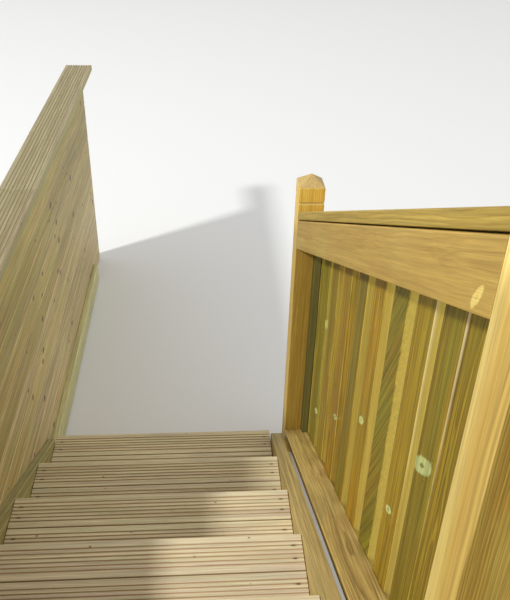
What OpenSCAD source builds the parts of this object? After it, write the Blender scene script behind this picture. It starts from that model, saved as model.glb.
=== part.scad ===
// Outdoor timber stair down from a raised deck: closed strings, grooved deck-board treads,
// a boarded railing between newel posts on one side and a clad wall with a flat cap on the other.
// The ground is z = 0. The stair descends along +Y. Set out from the front edge of the lowest
// tread, then moved so that the origin is under the middle of the whole footprint.

/* [Stair] */
// Height of each step
riser_h = 149; // [135:1:185]
// Distance from one nosing to the next
going = 304; // [240:1:330]
// Length of the treads, between the strings
tread_w = 870; // [700:5:1200]
// How far a nosing overhangs the riser below it
nosing = 25; // [15:1:35]
// Thickness of the riser boards
riser_t = 28; // [18:1:35]
// How far a tread runs on behind the riser that stands on it
rear_lap = 11; // [5:1:25]

/* [Deck boards] */
// Width of a deck board
board_w = 120; // [90:1:145]
// Thickness of a deck board
board_t = 28; // [24:1:36]
// Open joint between deck boards
board_gap = 4; // [3:1:8]
// Number of grooves along a deck board
grooves = 6; // [2:1:7]
// Distance between grooves
groove_pitch = 14.4; // [11:0.2:15]
// Width of a groove
groove_w = 5.5; // [3:0.5:8]
// Depth of a groove
groove_d = 3.5; // [2:0.5:6]
// Chamfer along the top edges of a deck board
edge_chamfer = 2.5; // [1:0.5:5]

/* [Strings] */
// Thickness of the string on the railing side
string_t = 47; // [35:1:60]
// Thickness of the string against the wall
wall_string_t = 28; // [22:1:47]
// Width of both strings, square to the slope
string_w = 225; // [215:1:275]
// Joint between the tread ends and the strings
tread_joint = 2; // [1:0.5:5]
// How far the strings stop short of the lowest nosing
string_setback = 40; // [30:1:60]
// Side of the square battens that carry the treads
batten_w = 38; // [25:1:45]
// Length of the battens
batten_l = 250; // [150:5:280]

/* [Landing] */
// Number of boards in the landing
landing_boards = 9; // [7:1:14]
// Depth of the joists and edge timbers
joist_h = 147; // [120:1:200]
// Thickness of the joists and edge timbers
joist_t = 47; // [35:1:60]
// Diameter of the bolt holes through the back beam
bolt_hole_d = 13; // [9:0.5:17]
// Distance between the bolt holes along the back beam
bolt_span = 560; // [300:5:640]
// Distance between the bolt holes up the back beam
bolt_rise = 75; // [50:1:85]
// Space between the string and the face of the newel posts
newel_offset = 19; // [6:1:40]

/* [Newel posts] */
// Side of the square posts
post_w = 90; // [75:1:110]
// From the lowest nosing forward to the lower post
lower_post_y = 20; // [5:1:60]
// From the landing nosing back to the upper post
upper_post_y = 93; // [85:1:160]
// Height of post above the handrail
post_over = 89; // [40:1:120]
// Height of the pyramid on a post
post_point = 36; // [20:1:70]

/* [Railing] */
// Height of the handrail's underside above the line of nosings
rail_h = 971; // [850:1:1050]
// Thickness of the flat handrail
cap_t = 28; // [22:1:45]
// Width of the plank under the handrail
plank_w = 103; // [80:1:145]
// Thickness of the plank
plank_t = 28; // [18:1:40]
// Depth of the rail behind the plank
back_rail_h = 45; // [35:1:70]
// Thickness of the bottom rail
foot_rail_t = 26; // [20:1:45]
// Drop of the bottom rail's top below the line of nosings
foot_rail_drop = 8; // [0:1:30]
// Height of the level bottom rail's top above the landing
foot_rail_lift = 37; // [32:1:90]
// Width of the upright boards
infill_w = 105; // [80:1:120]
// Thickness of the upright boards
infill_t = 22; // [15:1:25]
// How far the lowest upright board covers the side of the lower post
infill_lap = 57; // [5:1:85]
// Width of the battens that stand against the posts inside the upright boards
end_batten_w = 25; // [19:1:38]
// Depth of those battens along the railing
end_batten_d = 43; // [30:1:60]
// Number of upright boards on the landing
landing_infill = 5; // [3:1:7]
// How far the upright boards hang below the bottom rail
infill_tail = 25; // [5:1:60]

/* [Clad wall] */
// Length of the wall past the lowest nosing
wall_run = 1740; // [600:5:2400]
// Height of the wall to the top of its cap
wall_h = 1084; // [1000:1:1300]
// Thickness of the cladding boards
clad_t = 20; // [15:1:28]
// Number of cladding boards in the height
clad_rows = 11; // [9:1:13]
// Open joint between cladding boards
clad_gap = 2; // [1:0.5:5]
// Clearance of the cladding and plinth above the ground
clad_clear = 8; // [3:1:30]
// Height of the plinth board
plinth_h = 98; // [70:1:140]
// Thickness of the plinth board
plinth_t = 26; // [18:1:30]
// How far the plinth stops short of the wall's end
plinth_short = 260; // [0:5:400]
// Width of the cap boards
wall_cap_w = 145; // [125:1:180]
// How far the cap overhangs the cladding
wall_cap_over = 10; // [4:1:25]
// How far the cap runs past the end of the wall
wall_cap_past = 330; // [0:5:450]
// Number of grooves along a cap board
cap_grooves = 8; // [2:1:9]
// Joint between the ends of cap boards
cap_joint = 2; // [1:0.5:5]
// From the lowest nosing forward to the last joint between cap boards
cap_joint_y = 350; // [-500:10:900]

/* [Hidden] */
treads = 5;
wall_posts = 6;
// Gaps between the stair's upright boards from the lowest up, nailed by eye: only their shares count
infill_gaps = [60, 40, 75, 80, 65, 65, 55, 40, 15, 40];
eps = 1;
slope = riser_h / going;
tilt = atan(slope);
deck_z = (treads + 1) * riser_h;
deck_y = -treads * going;
board_step = board_w + board_gap;
tread_d = going + nosing + riser_t + rear_lap;
rear_w = tread_d - 2 * board_step;
riser_board_h = riser_h - board_t;

string_in = tread_w / 2 + tread_joint;
string_out = string_in + string_t;
wall_x = -string_in - wall_string_t;
rail_x = string_out + newel_offset;
rail_out = rail_x + post_w;
infill_out = rail_out + infill_t;

landing_d = landing_boards * board_step - board_gap;
landing_end = deck_y - landing_d;
top_tread_back = deck_y + going - tread_d;
frame_front = top_tread_back - board_gap;
frame_top = deck_z - board_t;
frame_low = frame_top - joist_h;

lower_near = lower_post_y;
upper_far = deck_y - upper_post_y;
upper_near = upper_far - post_w;
landing_rail_z = riser_h - slope * upper_far + rail_h;
end_far = landing_end + post_w;

clad_back = wall_x - clad_t;
wall_cap_z = wall_h - board_t;
clad_step = (wall_cap_z - clad_clear + clad_gap) / clad_rows;
wall_cap_near = wall_x + wall_cap_over;
wall_cap_far = wall_cap_near - wall_cap_w;
wall_cap_end = wall_run + wall_cap_past;
wall_span = wall_run - landing_end;

mid_x = (wall_cap_far + infill_out) / 2;
mid_y = (wall_cap_end + landing_end) / 2;

// Height of the line through the nosings at a distance y from the lowest one
function nosing_z(y) = riser_h - slope * y;

// Vertical measure of something square to the slope
function upright(d) = d / cos(tilt);

// Sum of the first n values in a list
function total(values, n) = n == 0 ? 0 : values[n - 1] + total(values, n - 1);

// Puts the set-out point of the stair over the footprint's middle
module set_out() translate([-mid_x, -mid_y, 0]) children();

// Extrudes a (y, z) outline along x
module along_x(x0, x1) translate([x0, 0, 0]) rotate([90, 0, 90]) linear_extrude(x1 - x0) children();

// Extrudes an (x, z) outline along y
module along_y(y0, y1) translate([0, y1, 0]) rotate([90, 0, 0]) linear_extrude(y1 - y0) children();

module block(x0, x1, y0, y1, z0, z1) translate([x0, y0, z0]) cube([x1 - x0, y1 - y0, z1 - z0]);

// Section of a grooved board, its front edge at 0 and running back along -u
module grooved_section(width, count) {
    first = (width - (count - 1) * groove_pitch) / 2;
    difference() {
        polygon([[0, 0], [0, board_t - edge_chamfer], [-edge_chamfer, board_t],
            [edge_chamfer - width, board_t], [-width, board_t - edge_chamfer], [-width, 0]]);
        for (i = [0 : count - 1])
            translate([-first - i * groove_pitch, board_t])
                polygon([[-groove_w / 2, eps], [-groove_w / 2, 0], [-groove_w / 4, -groove_d],
                    [groove_w / 4, -groove_d], [groove_w / 2, 0], [groove_w / 2, eps]]);
    }
}

// One grooved board across the stair
module cross_board(x0, x1, y_front, z_under, width, count)
    along_x(x0, x1) translate([y_front, z_under]) grooved_section(width, count);

// Tread n: two whole boards and a ripped one behind them
module tread(n) {
    y = -(n - 1) * going;
    z = n * riser_h - board_t;
    rear_grooves = min(grooves, floor((rear_w - 2 * edge_chamfer - groove_w) / groove_pitch));
    color("burlywood") set_out() {
        cross_board(-tread_w / 2, tread_w / 2, y, z, board_w, grooves);
        cross_board(-tread_w / 2, tread_w / 2, y - board_step, z, board_w, grooves);
        cross_board(-tread_w / 2, tread_w / 2, y - 2 * board_step, z, rear_w, rear_grooves);
    }
}

// Riser n: a board on edge that stands on the tread below and carries the nosing above
module riser(n) {
    y = -(n - 1) * going - nosing;
    z = (n - 1) * riser_h;
    color("tan") set_out() block(-tread_w / 2, tread_w / 2, y - riser_t, y, z, z + riser_board_h);
}

// Outline of both strings: the top follows the nosings, the ends are cut plumb and level
module string_outline() {
    front = -string_setback;
    back = frame_front;
    flat_y = (riser_h - frame_top) / slope;
    foot_y = (riser_h - upright(string_w)) / slope;
    polygon([[front, 0], [front, nosing_z(front)], [flat_y, frame_top], [back, frame_top],
        [back, nosing_z(back) - upright(string_w)], [foot_y, 0]]);
}

module stringer_right() color("peru") set_out() along_x(string_in, string_out) string_outline();

module stringer_left() color("peru") set_out() along_x(wall_x, -string_in) string_outline();

// Battens on a string's inner face, one under each tread, behind its riser
module tread_battens(x0) color("peru") set_out() for (n = [1 : treads]) {
    y = -(n - 1) * going - nosing - riser_t;
    z = n * riser_h - board_t;
    block(x0, x0 + batten_w, y - batten_l, y, z - batten_w, z);
}

module landing_boards_set() color("burlywood") set_out() for (i = [0 : landing_boards - 1])
    cross_board(wall_x + tread_joint, rail_x, deck_y - i * board_step, frame_top, board_w, grooves);

module landing_front_beam() color("peru") set_out()
    block(wall_x + joist_t, rail_x - joist_t, frame_front - joist_t, frame_front, frame_low, frame_top);

// Outer beam with four bolt holes, where the landing is fixed to the deck behind it
module landing_back_beam() color("peru") set_out() difference() {
    middle_x = (wall_x + rail_x) / 2;
    middle_z = (frame_low + frame_top) / 2;
    block(wall_x + joist_t, rail_x - joist_t, landing_end, landing_end + joist_t, frame_low, frame_top);
    for (x = [-bolt_span / 2, bolt_span / 2])
        for (z = [-bolt_rise / 2, bolt_rise / 2])
            translate([middle_x + x, landing_end + joist_t + eps, middle_z + z])
                rotate([90, 0, 0]) cylinder(d = bolt_hole_d, h = joist_t + 2 * eps, $fn = 48);
}

module landing_side_beam() color("peru") set_out()
    block(rail_x - joist_t, rail_x, landing_end, frame_front, frame_low, frame_top);

module landing_ledger() color("peru") set_out()
    block(wall_x, wall_x + joist_t, landing_end, frame_front, frame_low, frame_top);

// Joist n of two, evenly spaced between the ledger and the side beam
module landing_joist(n) {
    middle = wall_x + joist_t / 2 + n * (rail_x - wall_x - joist_t) / 3;
    color("peru") set_out() block(middle - joist_t / 2, middle + joist_t / 2,
        landing_end + joist_t, frame_front - joist_t, frame_low, frame_top);
}

// Square post with a pyramid top, standing on the ground
module newel(y_near, rail_top) {
    shoulder = rail_top + post_over;
    color("goldenrod") set_out() intersection() {
        along_x(rail_x - eps, rail_out + eps) polygon([[y_near, 0], [y_near, shoulder],
            [y_near + post_w / 2, shoulder + post_point], [y_near + post_w, shoulder], [y_near + post_w, 0]]);
        along_y(y_near - eps, y_near + post_w + eps) polygon([[rail_x, 0], [rail_x, shoulder],
            [rail_x + post_w / 2, shoulder + post_point], [rail_out, shoulder], [rail_out, 0]]);
    }
}

module newel_lower() newel(lower_near, nosing_z(lower_near) + rail_h + upright(cap_t));

module newel_upper() newel(upper_near, nosing_z(upper_far) + rail_h + upright(cap_t));

module newel_end() newel(landing_end, landing_rail_z + cap_t);

// Sloping timber between the stair's posts; high and low are measured plumb from the nosings
module sloping(x0, x1, low, high) along_x(x0, x1) polygon([
    [lower_near, nosing_z(lower_near) + low], [lower_near, nosing_z(lower_near) + high],
    [upper_far, nosing_z(upper_far) + high], [upper_far, nosing_z(upper_far) + low]]);

module stair_handrail() color("darkkhaki") set_out()
    sloping(rail_x, rail_out, rail_h, rail_h + upright(cap_t));

module stair_rail_plank() color("goldenrod") set_out()
    sloping(rail_x, rail_x + plank_t, rail_h - upright(plank_w), rail_h);

module stair_back_rail() color("goldenrod") set_out()
    sloping(rail_x + plank_t, rail_out, rail_h - upright(back_rail_h), rail_h);

module stair_bottom_rail() color("tan") set_out()
    sloping(rail_x, rail_out, -foot_rail_drop - upright(foot_rail_t), -foot_rail_drop);

// Upright boards on the outer face of the stair's rails, from the lower post up to the upper one
module stair_infill() {
    gap_count = len(infill_gaps);
    start = lower_near + infill_lap;
    open_run = start - upper_far - (gap_count + 1) * infill_w;
    gap_scale = open_run / total(infill_gaps, gap_count);
    low = -foot_rail_drop - upright(foot_rail_t) - infill_tail;
    color("olivedrab") set_out() for (i = [0 : gap_count]) {
        far = start - i * infill_w - gap_scale * total(infill_gaps, i);
        near = far - infill_w;
        along_x(rail_out, infill_out) polygon([[far, nosing_z(far) + low], [far, nosing_z(far) + rail_h],
            [near, nosing_z(near) + rail_h], [near, nosing_z(near) + low]]);
    }
}

// Battens against both newels that take the first and the last upright board
module stair_end_battens() {
    low = -foot_rail_drop;
    high = rail_h - upright(back_rail_h);
    color("olivedrab") set_out() for (far = [lower_near, upper_far + end_batten_d]) {
        near = far - end_batten_d;
        along_x(rail_out - end_batten_w, rail_out) polygon([[far, nosing_z(far) + low],
            [far, nosing_z(far) + high], [near, nosing_z(near) + high], [near, nosing_z(near) + low]]);
    }
}

// Level timber between the landing's posts
module level(x0, x1, z0, z1) block(x0, x1, end_far, upper_near, z0, z1);

module landing_handrail() color("darkkhaki") set_out()
    level(rail_x, rail_out, landing_rail_z, landing_rail_z + cap_t);

module landing_rail_plank() color("goldenrod") set_out()
    level(rail_x, rail_x + plank_t, landing_rail_z - plank_w, landing_rail_z);

module landing_back_rail() color("goldenrod") set_out()
    level(rail_x + plank_t, rail_out, landing_rail_z - back_rail_h, landing_rail_z);

module landing_bottom_rail() color("tan") set_out()
    level(rail_x, rail_out, deck_z + foot_rail_lift - foot_rail_t, deck_z + foot_rail_lift);

module landing_infill_set() {
    gap = (upper_near - end_far - landing_infill * infill_w) / (landing_infill + 1);
    low = deck_z + foot_rail_lift - foot_rail_t - infill_tail;
    color("olivedrab") set_out() for (i = [0 : landing_infill - 1]) {
        near = end_far + gap + i * (infill_w + gap);
        block(rail_out, infill_out, near, near + infill_w, low, landing_rail_z);
    }
}

// Wall post n, evenly spaced from the wall's far end to the landing's end
module wall_post(n) {
    y = wall_run - post_w - (n - 1) * (wall_span - post_w) / (wall_posts - 1);
    color("peru") set_out() block(clad_back - post_w, clad_back, y, y + post_w, 0, wall_cap_z);
}

module wall_cladding() color("tan") set_out() for (i = [0 : clad_rows - 1]) {
    z = clad_clear + i * clad_step;
    block(clad_back, wall_x, landing_end, wall_run, z, z + clad_step - clad_gap);
}

module wall_plinth() color("palegoldenrod") set_out()
    block(wall_x, wall_x + plinth_t, -string_setback, wall_run - plinth_short,
        clad_clear, clad_clear + plinth_h);

// Three grooved cap boards, end to end
module wall_cap() {
    ends = [landing_end, (landing_end + cap_joint_y) / 2, cap_joint_y, wall_cap_end + cap_joint];
    color("burlywood") set_out() for (i = [0 : 2])
        along_y(ends[i], ends[i + 1] - cap_joint) translate([wall_cap_near, wall_cap_z])
            grooved_section(wall_cap_w, cap_grooves);
}

stringer_right();
stringer_left();
tread(1);  // tread_1
tread(2);  // tread_2
tread(3);  // tread_3
tread(4);  // tread_4
tread(5);  // tread_5
riser(1);  // riser_1
riser(2);  // riser_2
riser(3);  // riser_3
riser(4);  // riser_4
riser(5);  // riser_5
riser(6);  // riser_6
tread_battens(string_in - batten_w);  // tread_battens_right
tread_battens(-string_in);  // tread_battens_left
landing_boards_set();  // landing_boards
landing_front_beam();
landing_back_beam();
landing_side_beam();
landing_ledger();
landing_joist(1);  // landing_joist_1
landing_joist(2);  // landing_joist_2
newel_lower();
newel_upper();
newel_end();
stair_handrail();
stair_rail_plank();
stair_back_rail();
stair_bottom_rail();
stair_infill();
stair_end_battens();
landing_handrail();
landing_rail_plank();
landing_back_rail();
landing_bottom_rail();
landing_infill_set();  // landing_infill
wall_post(1);  // wall_post_1
wall_post(2);  // wall_post_2
wall_post(3);  // wall_post_3
wall_post(4);  // wall_post_4
wall_post(5);  // wall_post_5
wall_post(6);  // wall_post_6
wall_cladding();
wall_plinth();
wall_cap();
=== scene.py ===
# %% [markdown]
# # Wooden deck stairs
#
# A straight timber stair comes down from a deck. The treads are grooved deck boards between two
# strings. One side has a boarded railing between square newel posts, the other a low clad wall
# with a flat grooved cap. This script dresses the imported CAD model: each board is modelled again
# with softened edges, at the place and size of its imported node, and gets its own piece of grain.
# Lengths are in metres. Z is up, the stair comes down along +Y, and the railing is on the +X side.

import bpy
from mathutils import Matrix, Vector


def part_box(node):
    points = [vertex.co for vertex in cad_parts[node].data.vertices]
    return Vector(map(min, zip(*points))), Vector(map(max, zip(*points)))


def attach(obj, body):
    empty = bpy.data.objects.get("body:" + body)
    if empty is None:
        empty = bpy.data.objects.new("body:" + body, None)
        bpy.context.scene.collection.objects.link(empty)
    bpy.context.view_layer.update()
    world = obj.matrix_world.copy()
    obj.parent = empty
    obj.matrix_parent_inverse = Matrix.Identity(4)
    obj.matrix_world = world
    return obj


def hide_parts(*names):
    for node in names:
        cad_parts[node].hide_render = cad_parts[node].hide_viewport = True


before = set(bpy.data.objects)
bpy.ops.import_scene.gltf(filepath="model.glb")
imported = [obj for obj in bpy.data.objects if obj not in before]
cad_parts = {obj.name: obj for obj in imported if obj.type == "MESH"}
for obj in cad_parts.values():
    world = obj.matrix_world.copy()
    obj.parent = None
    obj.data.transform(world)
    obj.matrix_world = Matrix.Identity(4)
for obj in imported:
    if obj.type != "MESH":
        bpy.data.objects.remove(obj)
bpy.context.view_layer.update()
print("packed nodes:", len(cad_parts))

# %% Modules
import math
import random
from types import SimpleNamespace

import bmesh
import bpy
from mathutils import Vector

X_AXIS, Y_AXIS, Z_AXIS = Vector((1, 0, 0)), Vector((0, 1, 0)), Vector((0, 0, 1))

# %% [markdown]
# ## Sizes
#
# A stair has two numbers that everything follows: the rise of a step and its going, the distance
# from one nosing to the next. Both can be read off the lowest two treads, so they are measured
# here and never typed. Their ratio is the slope of the strings and of the railing.

# %% Rise, going and slope
tread_low, tread_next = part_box("tread_1"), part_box("tread_2")
RISE = tread_next[1].z - tread_low[1].z
GOING = tread_low[1].y - tread_next[1].y
SLOPE = RISE / GOING
DOWN_THE_STAIR = Vector((0, 1, -SLOPE)).normalized()
STEPS = sum(name.startswith("tread_") and name[6:].isdigit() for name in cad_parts)
print(f"{STEPS} treads, rise {RISE:.3f} m, going {GOING:.3f} m, {math.degrees(math.atan(SLOPE)):.1f} degrees")

# %% [markdown]
# ## Working in edit mode
#
# Blender's operators act on all that is selected, so every piece starts from an empty selection.
# A few small helpers keep the cells short: one makes an object the only selected one, one opens it
# in edit mode, and one selects faces, edges or vertices by a rule instead of by mouse.


# %% Select an object, open it, and pick parts of it
def alone(thing):
    """Makes this object the only selected one, and the active one."""
    bpy.ops.object.select_all(action="DESELECT")
    thing.select_set(True)
    bpy.context.view_layer.objects.active = thing


def opened(thing):
    """Goes into edit mode on one object, with everything in it selected."""
    alone(thing)
    bpy.ops.object.mode_set(mode="EDIT")
    bpy.ops.mesh.select_all(action="SELECT")


def closed():
    bpy.ops.object.mode_set(mode="OBJECT")


def pick(thing, kind, wanted):
    """In edit mode, selects only the parts (VERT, EDGE or FACE) that wanted accepts."""
    bpy.ops.mesh.select_mode(type=kind)
    bpy.ops.mesh.select_all(action="DESELECT")
    mesh = bmesh.from_edit_mesh(thing.data)
    for part in {"VERT": mesh.verts, "EDGE": mesh.edges, "FACE": mesh.faces}[kind]:
        if wanted(part):
            part.select_set(True)
    mesh.select_flush_mode()
    bmesh.update_edit_mesh(thing.data)


def corners(thing):
    """Lowest and highest corner of a mesh."""
    places = [v.co for v in thing.data.vertices]
    return Vector(map(min, zip(*places))), Vector(map(max, zip(*places)))


# %% [markdown]
# ## Squared timber
#
# Most pieces are sawn and planed to a rectangle. A cube primitive is stretched between two corners
# and its scale is applied, so that a bevel is the same width on every edge. A timber that follows
# the stair has plumb ends: no bend or shear is needed, one end is just moved up. A planed edge is
# never knife-sharp, so the last step is a small rounded bevel on every arris.

# %% Squared timber between two corners
ARRIS = 0.0022
ARRIS_FROM = math.radians(25)


def squared(name, low, high):
    """A cube primitive stretched between two corners, with its place and scale applied."""
    bpy.ops.object.select_all(action="DESELECT")
    bpy.ops.mesh.primitive_cube_add(size=1, location=(Vector(low) + Vector(high)) / 2)
    thing = bpy.context.object
    thing.name = name
    thing.scale = Vector(high) - Vector(low)
    bpy.ops.object.transform_apply(location=True, rotation=True, scale=True)
    return thing


def raised(thing):
    """Moves the end towards -Y up, so that a level timber follows the stair and keeps its plumb ends."""
    low, high = corners(thing)
    opened(thing)
    pick(thing, "VERT", lambda v: v.co.y < (low.y + high.y) / 2)
    bpy.ops.transform.translate(value=(0, 0, SLOPE * (high.y - low.y)))
    closed()
    return thing


def eased(thing, width=ARRIS, segments=2):
    """Rounds every sharp edge a little, as a plane or sandpaper does."""
    alone(thing)
    rounding = thing.modifiers.new("eased edges", "BEVEL")
    rounding.width = width
    rounding.segments = segments
    rounding.limit_method = "ANGLE"
    rounding.angle_limit = ARRIS_FROM
    bpy.ops.object.modifier_apply(modifier=rounding.name)
    return thing


# %% [markdown]
# ## Where a board lay in its log
#
# Wood looks right when its grain belongs to a solid log: arches on a flat-sawn face, straight lines
# on an edge and rings on the end all come from one set of rings. So each board gets an attribute,
# grain, with every vertex's place in an imagined log: X along the trunk, Y and Z across it from the
# pith. Three more attributes say what the weather and the painted light do to it: place is where a
# vertex lies along and across the board, board holds its own tint and shade and a mask for marks, and
# face is 1 on end grain, on the narrow sides and on arrises, which are worn and get a painted
# highlight. The last one, branch, measures how far a vertex lies from a knot at a given place, in knot
# radii.

# %% Ends, sides and flats
WIDEST_BEVEL = 0.003
END_FROM = 0.8
SIDE_WITHIN = 0.3


def face_width(mesh, face):
    """A face's area over its longest side, which is the width of a long strip."""
    places = [mesh.vertices[number].co for number in face.vertices]
    longest = max((a - b).length for a, b in zip(places, places[1:] + places[:1]))
    return face.area / longest


def told_apart(mesh, along, through, end_from):
    """The vertices of the ends, of the narrow sides, and of all faces that are wider than a bevel."""
    ends, sides, flats = set(), set(), set()
    for face in mesh.polygons:
        if abs(face.normal.dot(along)) > end_from:
            ends.update(face.vertices)
        elif abs(face.normal.dot(through)) < SIDE_WITHIN:
            sides.update(face.vertices)
        if face_width(mesh, face) > WIDEST_BEVEL:
            flats.update(face.vertices)
    return ends, sides, flats


# %% Saw a piece out of its log
LOG_LENGTH = 20.0
NO_BRANCH = (9.0, 9.0, 0.005, 0.005, 0.0)
ATTRIBUTES = ("grain", "place", "board", "face", "branch")


def sawn(thing, along, across, pith=(0.0, 0.07), spread=(0.03, 0.03), marked=None, tone=None,
         branch=NO_BRANCH, side_share=1.0, end_from=END_FROM):
    """Writes the attributes. pith is the board's middle, across and through, measured from the log's
    centre, and spread is how far chance may move it. tone is its tint and shade, or chance's choice.
    branch is a knot's place as shares of the board's half length and half width, its two radii and
    its slant. side_share is how much of the edge colour this board's narrow sides take."""
    chance = random.Random(thing.name)
    through = along.cross(across)
    low, high = corners(thing)
    middle = (low + high) / 2
    start = Vector((chance.uniform(1, LOG_LENGTH), pith[0], pith[1]))
    start += Vector((0, chance.uniform(-1, 1) * spread[0], chance.uniform(-1, 1) * spread[1]))
    tint, shade = tone or (chance.random(), chance.random())
    mesh = thing.data
    ends, sides, flats = told_apart(mesh, along, through, end_from)
    half = max(abs((vertex.co - middle).dot(along)) for vertex in mesh.vertices)
    half_width = max(abs((vertex.co - middle).dot(across)) for vertex in mesh.vertices)
    share_along, share_across, radius_along, radius_across, slant = branch
    for label in ATTRIBUTES:
        mesh.attributes.new(label, "FLOAT_VECTOR", "POINT")
    grain, place, board, face, knot = (mesh.attributes[label] for label in ATTRIBUTES)
    for number, vertex in enumerate(mesh.vertices):
        away = vertex.co - middle
        spot = Vector((away.dot(along), away.dot(across), away.dot(through)))
        grain.data[number].vector = start + spot
        place.data[number].vector = (spot.x, spot.y, half)
        off_across = spot.y - share_across * half_width
        off_along = spot.x - share_along * half - slant * off_across
        knot.data[number].vector = (off_along / radius_along, off_across / radius_across, 0)
        board.data[number].vector = (tint, shade, float(marked(vertex.co)) if marked else 0.0)
        at_side = side_share if number in sides else 0.0
        face.data[number].vector = (float(number in ends), at_side, float(number not in flats))
    return thing


# %% [markdown]
# ## Copies, and standing in for a node
#
# What repeats is modelled once and copied, each copy with its own mesh and from another place in
# the log. A finished piece then rides on the model's only body, stands for its imported node and
# takes its finish.


def moved_copy(thing, name, move=(0, 0, 0)):
    """A copy with its own mesh, moved to its place."""
    alone(thing)
    bpy.ops.object.duplicate()
    twin = bpy.context.object
    twin.name = name
    twin.location = move
    bpy.ops.object.transform_apply(location=True, rotation=False, scale=False)
    return twin


def copied(thing, name, move=(0, 0, 0)):
    """A moved copy of a board, sawn from another place in the log."""
    twin = moved_copy(thing, name, move)
    chance = random.Random(name)
    shift = chance.uniform(1, LOG_LENGTH)
    tint, shade = chance.random(), chance.random()
    flip = chance.choice((-1, 1))
    grain, board = twin.data.attributes["grain"], twin.data.attributes["board"]
    for number in range(len(twin.data.vertices)):
        old = grain.data[number].vector
        grain.data[number].vector = (old.x + shift, old.y * flip, old.z)
        board.data[number].vector = (tint, shade, board.data[number].vector.z)
    return twin


def joined(name, things):
    """One object out of several boards."""
    bpy.ops.object.select_all(action="DESELECT")
    for thing in things:
        thing.select_set(True)
    bpy.context.view_layer.objects.active = things[0]
    bpy.ops.object.join()
    things[0].name = name
    things[0].data.name = name
    return things[0]


def dressed(thing, node, finish):
    """The piece stands for its CAD node, rides with it and takes its finish."""
    thing.data.materials.clear()
    thing.data.materials.append(finish)
    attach(thing, "root")
    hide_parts(node)
    print(f"{thing.name}: {len(thing.data.polygons)} faces")
    return thing


def plain_timber(name, node, along, across, finish, arris=ARRIS, **how):
    """A squared timber over the whole of its node, eased, sawn and dressed."""
    piece = eased(squared(name, *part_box(node)), arris)
    return dressed(sawn(piece, along, across, **how), node, finish)


# %% [markdown]
# ## A finish for timber
#
# The whole stair is softwood, so one recipe makes every finish and only its numbers change. It
# could all be painted in an image, but nodes stay sharp at any distance and run through the solid.
# The recipe follows the wood: knots, bent grain and growth rings first, then colours, weather, and
# the light and dark of fibres, ends and edges. It starts with short names for the nodes it uses.


# %% Small tools for building node trees
def linear(red, green, blue):
    """A colour as seen on a screen, from 0 to 255, in the linear values that shaders use."""
    parts = [c / 255 for c in (red, green, blue)]
    return tuple(c / 12.92 if c <= 0.04045 else ((c + 0.055) / 1.055) ** 2.4 for c in parts) + (1.0,)


def add(tree, kind, inputs=None, **settings):
    """Adds a node, sets its options and feeds its inputs with sockets or plain values."""
    made = tree.nodes.new(kind)
    for name, value in settings.items():
        setattr(made, name, value)
    for socket, value in (inputs or {}).items():
        if isinstance(value, bpy.types.NodeSocket):
            tree.links.new(value, made.inputs[socket])
        else:
            made.inputs[socket].default_value = value
    return made


def maths(tree, operation, *values, clamp=False):
    made = add(tree, "ShaderNodeMath", dict(enumerate(values)), operation=operation, use_clamp=clamp)
    return made.outputs[0]


def vectors(tree, operation, *values):
    made = add(tree, "ShaderNodeVectorMath", dict(enumerate(values)), operation=operation)
    return made.outputs["Value" if operation == "LENGTH" else "Vector"]


def parted(tree, vector):
    """The X, Y and Z of a vector."""
    return add(tree, "ShaderNodeSeparateXYZ", {0: vector}).outputs


def attribute(tree, label):
    """What sawn wrote under this name."""
    return add(tree, "ShaderNodeAttribute", attribute_name=label).outputs["Vector"]


# %% Soft steps, mixes and noise
def between(tree, value, low, high, start=0.0, end=1.0):
    """A soft step from start to end as value goes from low to high."""
    inputs = {"Value": value, "From Min": low, "From Max": high, "To Min": start, "To Max": end}
    return add(tree, "ShaderNodeMapRange", inputs, interpolation_type="SMOOTHSTEP").outputs[0]


def mixed(tree, amount, first, second, how="MIX"):
    inputs = {0: amount, 6: first, 7: second}
    return add(tree, "ShaderNodeMix", inputs, data_type="RGBA", blend_type=how).outputs[2]


def painted(tree, mask, colour, paint, share=None):
    """A screen colour laid over what is there where the mask is 1, or only a share of it."""
    if share is not None:
        mask = maths(tree, "MULTIPLY", mask, share)
    return mixed(tree, mask, colour, linear(*paint))


def noise(tree, place, stretch, detail=3.0, rough=0.5, colour=False):
    """Noise whose size along and across the grain is set by stretch, in waves per metre."""
    spread = vectors(tree, "MULTIPLY", place, stretch)
    inputs = {"Vector": spread, "Scale": 1.0, "Detail": detail, "Roughness": rough}
    return add(tree, "ShaderNodeTexNoise", inputs).outputs["Color" if colour else "Fac"]


def jitter(tree, place, stretch):
    """Three noises around zero, to push a place about."""
    return vectors(tree, "SUBTRACT", noise(tree, place, stretch, detail=2.0, colour=True), (0.5, 0.5, 0.5))


print("mid grey on the screen is", round(linear(128, 128, 128)[0], 3), "for a shader")

# %% [markdown]
# ### Knots
#
# Knots are the branches. A Voronoi pattern gives each one a centre and a size, and some of its cells
# hold none. Distance is counted in knot radii, so that one rule colours a small and a large knot. A
# knot at a given place comes from the branch attribute and is counted the same way, and the nearer of
# the two wins. Its outline is pushed about by noise, because a real knot is never a neat oval.

# %% Knots by chance and at given places
KNOT_CELLS = (3.2, 9.0, 0.0)
KNOT_LENGTHENED = 0.75
RAGGED_WAVES = (60, 60, 60)
RAGGED_BY_HAND = (1.1, 1.1, 0.0)
FAR_AWAY = 40.0


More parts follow.
